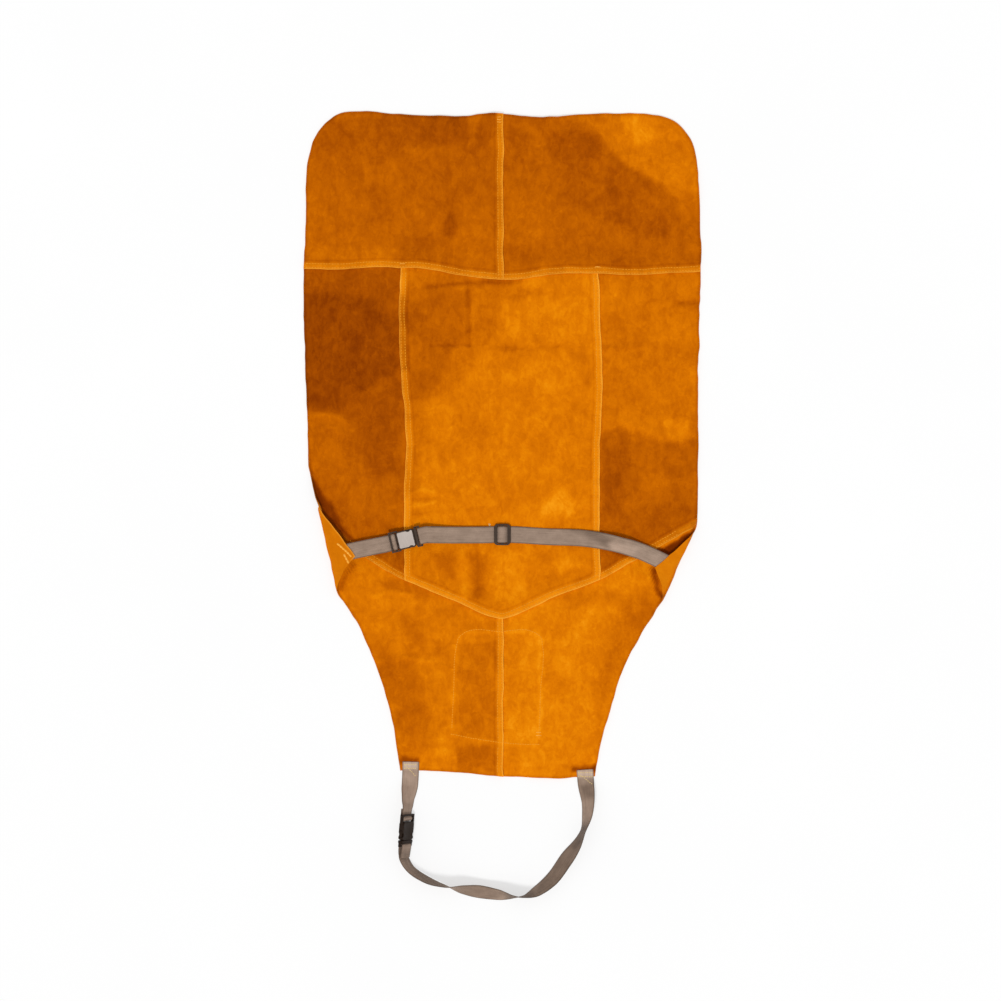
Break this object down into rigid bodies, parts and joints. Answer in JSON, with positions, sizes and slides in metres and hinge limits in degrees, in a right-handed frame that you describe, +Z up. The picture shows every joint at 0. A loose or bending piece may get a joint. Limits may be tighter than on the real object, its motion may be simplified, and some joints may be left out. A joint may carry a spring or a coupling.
{
  "type": "leather welding apron",
  "caption": "Bib apron of lapped split-leather panels, laid flat back up, with rolled waist corners, a webbing neck loop and a buckled waist strap.",
  "frame": {"origin": "on the floor under the middle of the laid apron's box", "axes": "+X to the right of the view from above, +Y toward the hem, +Z up from the floor, out of the suede back"},
  "size_m": [0.602, 1.1946, 0.0302],
  "materials": {
    "suede": "napped split leather",
    "webbing": "plain woven tape",
    "plastic": "moulded, satin gloss"
  },
  "bodies": {
    "root": {"hem_panel_left": "suede", "hem_panel_right": "suede", "skirt_panel_left": "suede", "skirt_panel_centre": "suede", "skirt_panel_right": "suede", "bib_panel_left": "suede", "bib_panel_right": "suede", "chest_pocket": "suede", "pocket_flap": "suede", "neck_strap_left": "webbing", "neck_strap": "webbing", "waist_strap_left": "webbing", "waist_strap": "webbing", "neck_buckle_socket": "plastic", "neck_buckle_prong": "plastic", "waist_buckle_socket": "plastic", "waist_buckle_prong": "plastic", "waist_slider": "plastic"}
  },
  "joints": []
}
